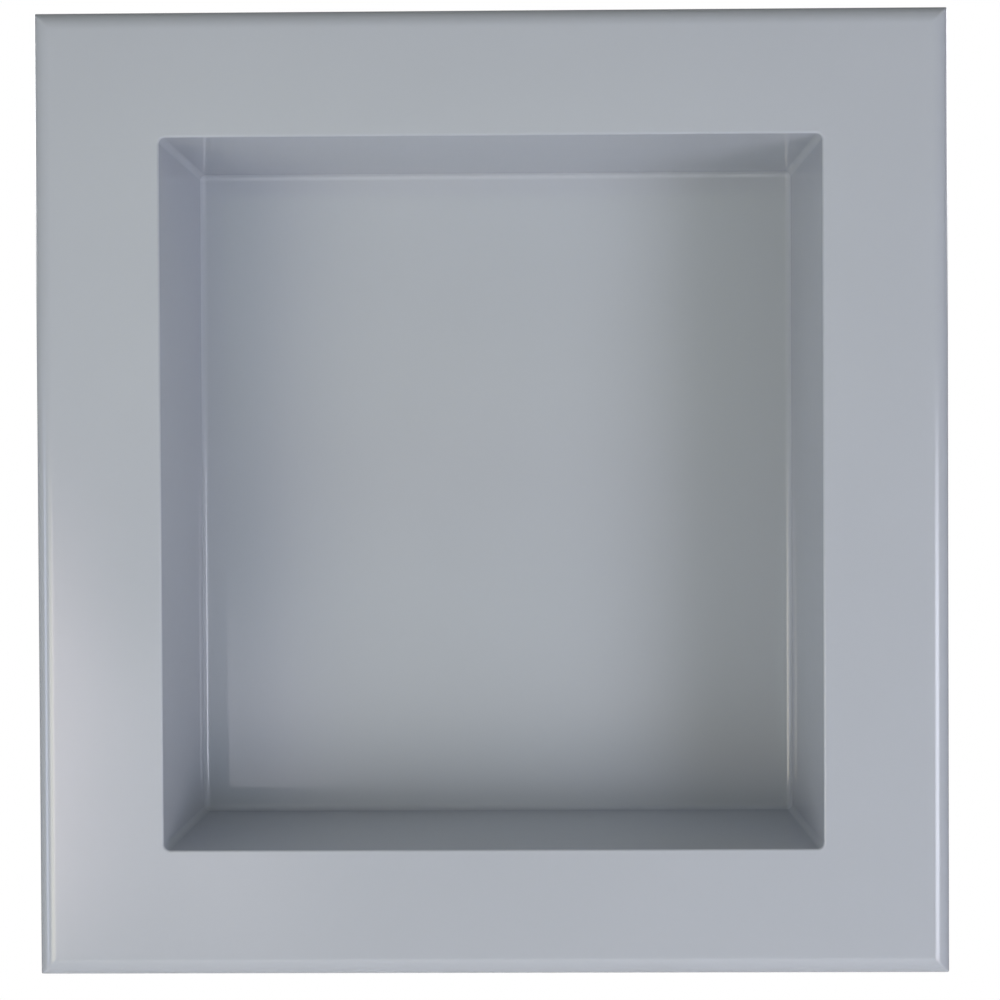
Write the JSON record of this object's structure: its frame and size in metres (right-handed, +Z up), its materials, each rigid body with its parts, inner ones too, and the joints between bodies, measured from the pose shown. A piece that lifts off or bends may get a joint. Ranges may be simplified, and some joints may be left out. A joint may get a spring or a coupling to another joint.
{
  "type": "recessed shelf",
  "caption": "Recessed shelf for a shower or bath wall: a drafted open box with a broad flat flange round its mouth, moulded in one piece of gloss plastic.",
  "frame": {"origin": "the middle of the wall cut-out, on the surface of the finished wall where the flange's rim seats", "axes": "+X to the right as seen from the room, +Y into the wall, +Z up; the flange's face looks along -Y"},
  "size_m": [0.423, 0.094, 0.447],
  "materials": {
    "gloss_grey": "gloss"
  },
  "bodies": {
    "root": {"recessed_shelf": "gloss_grey"}
  },
  "joints": []
}
